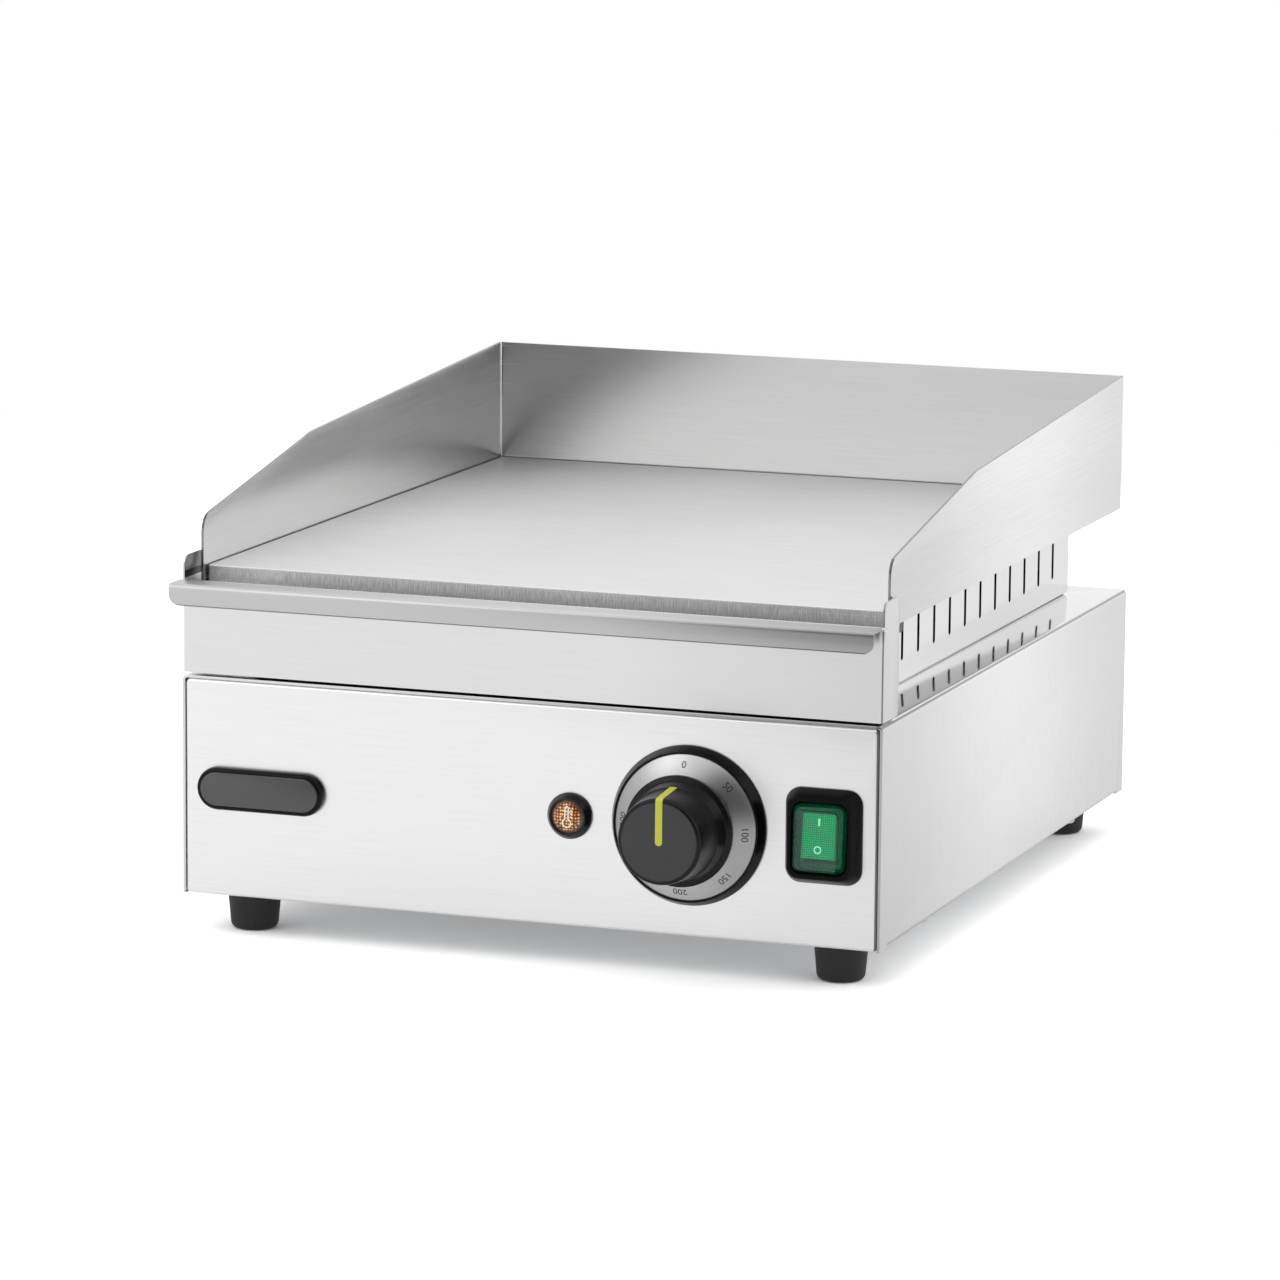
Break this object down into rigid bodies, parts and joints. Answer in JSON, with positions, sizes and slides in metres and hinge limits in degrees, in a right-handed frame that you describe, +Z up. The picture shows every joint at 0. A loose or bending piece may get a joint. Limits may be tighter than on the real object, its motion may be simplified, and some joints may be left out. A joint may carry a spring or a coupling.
{
  "type": "electric countertop griddle",
  "caption": "Electric countertop griddle: flat steel plate in a splash guard over a vented heat chamber, with grease drawer, dial thermostat, pilot lamp, covered rocker switch and rubber feet.",
  "frame": {"origin": "on the worktop under the middle of the whole outline, between the knob's face and the cord gland's end", "axes": "+X to the right seen from the front, +Y from the control panel to the rear, +Z up"},
  "size_m": [0.33, 0.4482, 0.224],
  "materials": {
    "casing_steel": "brushed",
    "front_steel": "fine brushed",
    "drawer_steel": "fine brushed",
    "guard_steel": "brushed",
    "chamber_steel": "mill finish",
    "plate_steel": "ground, matte",
    "weld_steel": "as welded",
    "base_steel": "zinc coated",
    "fastener_zinc": "zinc plated",
    "element_sheath": "oxidised",
    "element_ferrule": "machined",
    "copper": "drawn tube",
    "foot_rubber": "moulded",
    "knob_black": "satin",
    "pointer_lime": "printed",
    "bezel_black": "satin",
    "dial_silver": "satin",
    "lamp_black": "gloss",
    "lens_amber": "moulded clear plastic",
    "switch_black": "moulded",
    "boot_black": "gloss",
    "boot_green": "clear soft plastic",
    "rocker_green": "lit, translucent",
    "badge_grey": "satin",
    "mat_wool": "ceramic fibre",
    "inner_white": "moulded",
    "gland_black": "moulded"
  },
  "bodies": {
    "housing": {"outer_casing": "casing_steel", "front_panel": "front_steel", "rear_panel": "casing_steel", "base_plate": "base_steel", "foot_screws": "fastener_zinc", "foot_nuts": "fastener_zinc", "base_screws": "fastener_zinc", "rear_screws": "fastener_zinc", "heat_chamber": "chamber_steel", "front_rail": "chamber_steel", "griddle_plate": "plate_steel", "splash_guard": "guard_steel", "guard_welds": "weld_steel", "plate_studs": "fastener_zinc", "stud_nuts": "fastener_zinc", "heating_element": "element_sheath", "element_pins": "fastener_zinc", "element_ferrules": "element_ferrule", "element_clamps": "base_steel", "clamp_studs": "fastener_zinc", "clamp_nuts": "fastener_zinc", "sensing_bulb": "copper", "bulb_clip": "base_steel", "capillary_tube": "copper", "insulation_mat": "mat_wool", "thermostat_body": "inner_white", "thermostat_screws": "fastener_zinc", "dial_bezel": "bezel_black", "dial_ring": "dial_silver", "pilot_bezel": "lamp_black", "pilot_lens": "lens_amber", "pilot_body": "inner_white", "pilot_nut": "lamp_black", "switch_body": "switch_black", "boot_frame": "boot_black", "boot_cover": "boot_green", "badge_plate": "badge_grey", "terminal_block": "inner_white", "earth_stud": "element_ferrule", "thermal_cutout": "inner_white", "cord_gland": "gland_black", "gland_nut": "gland_black", "foot_front_left": "foot_rubber", "foot_front_right": "foot_rubber", "foot_rear_left": "foot_rubber", "foot_rear_right": "foot_rubber"},
    "knob": {"control_knob": "knob_black", "knob_pointer": "pointer_lime", "thermostat_shaft": "fastener_zinc"},
    "rocker": {"switch_rocker": "rocker_green"},
    "drawer": {"drawer_front": "drawer_steel", "drawer_tray": "drawer_steel"}
  },
  "joints": [
    {"name": "knob_turn", "type": "hinge", "parent": "housing", "child": "knob", "pos_m": [0.077, -0.2039, 0.0684], "axis": [0, 1, 0], "range_deg": [0, 274]},
    {"name": "switch_rock", "type": "hinge", "parent": "housing", "child": "rocker", "pos_m": [0.1391, -0.1829, 0.0684], "axis": [1, 0, 0], "range_deg": [0, 18]},
    {"name": "drawer_slide", "type": "slide", "parent": "housing", "child": "drawer", "axis": [0, -1, 0], "range_m": [0, 0.12]}
  ]
}
